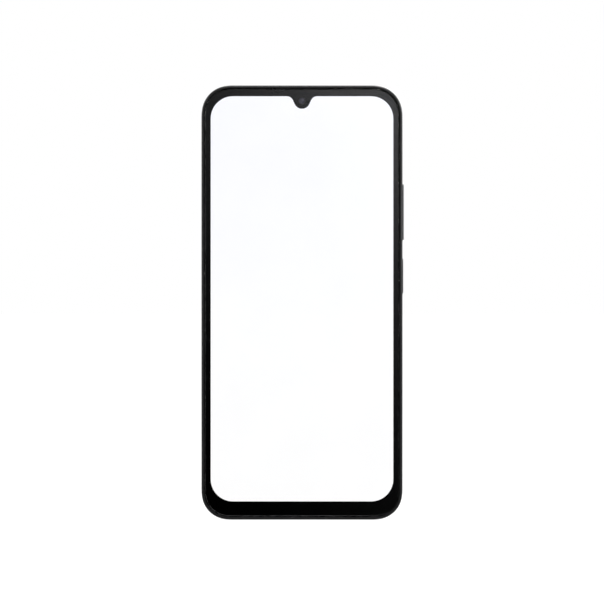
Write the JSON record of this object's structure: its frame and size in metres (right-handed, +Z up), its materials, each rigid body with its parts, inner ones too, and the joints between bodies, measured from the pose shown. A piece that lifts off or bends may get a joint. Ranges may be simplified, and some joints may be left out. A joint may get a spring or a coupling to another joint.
{
  "type": "smartphone",
  "caption": "Slim slab smartphone with rounded corners, a black border, a drop notch at the top of a blank lit screen, side keys, and a twin-ring rear camera.",
  "frame": {"origin": "centre of the flat bottom edge, half-way through the body's depth, with the phone upright", "axes": "+X to the right as the screen is faced, +Y from the screen to the back, +Z up along the phone's length"},
  "size_m": [0.0784, 0.0096, 0.168],
  "materials": {
    "frame_plastic": "satin",
    "cover_plastic": "satin, fine texture",
    "key_plastic": "satin",
    "front_glass": "polished",
    "border_ink": "gloss, printed behind the glass",
    "black_foam": "matt",
    "display_cell": "satin, lit blank white",
    "diffuser_white": "matt",
    "plate_alloy": "cast, bead blasted",
    "flex_film": "satin",
    "black_flex": "satin",
    "circuit_board": "satin solder mask",
    "can_steel": "rolled sheet",
    "chip_epoxy": "matt",
    "socket_plastic": "moulded",
    "graphite": "satin",
    "bracket_plastic": "moulded, matt",
    "screw_steel": "zinc plated",
    "battery_pouch": "laminated foil pouch",
    "tape_white": "matt",
    "cable_sheath": "satin",
    "port_steel": "nickel plated",
    "port_plastic": "moulded",
    "speaker_plastic": "moulded",
    "magnet_nickel": "nickel plated",
    "cone_film": "satin film",
    "mesh_black": "woven",
    "weight_alloy": "sintered heavy alloy",
    "mic_can": "gold plated",
    "ring_metal": "anodised, polished edge",
    "window_glass": "tinted, coated",
    "lens_glass": "coated",
    "lens_barrel": "matt",
    "camera_steel": "blackened sheet",
    "flash_lens": "prismatic",
    "led_phosphor": "phosphor",
    "tray_plastic": "satin",
    "seal_rubber": "soft",
    "dome_steel": "spring temper",
    "sensor_glass": "coated, gloss"
  },
  "bodies": {
    "phone": {"side_frame": "frame_plastic", "mid_plate": "plate_alloy", "rear_cover": "cover_plastic", "cover_glass": "front_glass", "border_mask": "border_ink", "display_adhesive": "black_foam", "lcd_panel": "display_cell", "backlight_unit": "diffuser_white", "display_flex": "flex_film", "front_camera_module": "lens_barrel", "front_camera_lens": "lens_glass", "earpiece_mesh": "mesh_black", "earpiece_receiver": "speaker_plastic", "light_sensor": "chip_epoxy", "camera_rings": "ring_metal", "camera_windows": "window_glass", "main_camera_housing": "camera_steel", "second_camera_module": "lens_barrel", "flash_window": "flash_lens", "flash_led": "led_phosphor", "main_board": "circuit_board", "sub_board": "circuit_board", "shield_cans": "can_steel", "processor": "chip_epoxy", "board_chips": "chip_epoxy", "board_connectors": "socket_plastic", "microphones": "mic_can", "usb_shell": "port_steel", "usb_tongue": "port_plastic", "headphone_jack": "port_plastic", "speaker_box": "speaker_plastic", "speaker_magnet": "magnet_nickel", "speaker_mesh": "mesh_black", "motor_case": "can_steel", "battery": "battery_pouch", "battery_board": "chip_epoxy", "battery_flex": "flex_film", "battery_tapes": "tape_white", "main_flex": "black_flex", "antenna_cable": "cable_sheath", "upper_bracket": "bracket_plastic", "lower_bracket": "bracket_plastic", "graphite_sheet": "graphite", "screws": "screw_steel", "sim_reader": "can_steel", "volume_domes": "dome_steel", "power_dome": "dome_steel", "key_flex": "flex_film", "key_bracket": "can_steel"},
    "volume_keys": {"volume_rocker": "key_plastic"},
    "power_button": {"power_key": "key_plastic", "fingerprint_sensor": "sensor_glass"},
    "card_tray": {"sim_tray": "tray_plastic", "sim_tray_seal": "seal_rubber"},
    "eject_rod": {"sim_eject_rod": "screw_steel"},
    "eject_lever": {"sim_eject_lever": "can_steel"},
    "focus_barrel": {"main_camera_barrel": "lens_barrel"},
    "motor_mass": {"motor_weight": "weight_alloy"},
    "speaker_cone": {"speaker_diaphragm": "cone_film"},
    "earpiece_cone": {"earpiece_diaphragm": "cone_film"}
  },
  "joints": [
    {"name": "volume_tilt", "type": "hinge", "parent": "phone", "child": "volume_keys", "pos_m": [0.03725, 0.0001, 0.1191], "axis": [0, 1, 0], "range_deg": [-1.75, 1.75], "stiffness_Nm_per_rad": 0.4, "deforming": ["volume_domes"]},
    {"name": "power_press", "type": "slide", "parent": "phone", "child": "power_button", "axis": [-1, 0, 0], "range_m": [0, 0.00025], "stiffness_N_per_m": 6000, "deforming": ["power_dome"]},
    {"name": "tray_pull", "type": "slide", "parent": "phone", "child": "card_tray", "axis": [-1, 0, 0], "range_m": [0, 0.034]},
    {"name": "eject_push", "type": "slide", "parent": "phone", "child": "eject_rod", "axis": [1, 0, 0], "range_m": [0, 0.0008]},
    {"name": "eject_turn", "type": "hinge", "parent": "phone", "child": "eject_lever", "pos_m": [-0.0024, -0.0007, 0.1318], "axis": [0, -1, 0], "range_deg": [0, 12.2]},
    {"name": "focus_travel", "type": "slide", "parent": "phone", "child": "focus_barrel", "axis": [0, 1, 0], "range_m": [0, 0.0003], "stiffness_N_per_m": 60},
    {"name": "motor_spin", "type": "hinge", "parent": "phone", "child": "motor_mass", "pos_m": [-0.027, 0.00005, 0.012], "axis": [0, 1, 0], "continuous": true},
    {"name": "speaker_travel", "type": "slide", "parent": "phone", "child": "speaker_cone", "axis": [0, -1, 0], "range_m": [-0.00025, 0.00025], "stiffness_N_per_m": 2000},
    {"name": "earpiece_travel", "type": "slide", "parent": "phone", "child": "earpiece_cone", "axis": [0, -1, 0], "range_m": [-0.0001, 0.0001], "stiffness_N_per_m": 1200}
  ],
  "couplings": [
    {"joint": "eject_turn", "follows": "eject_push", "rad_per_m": 263}
  ]
}
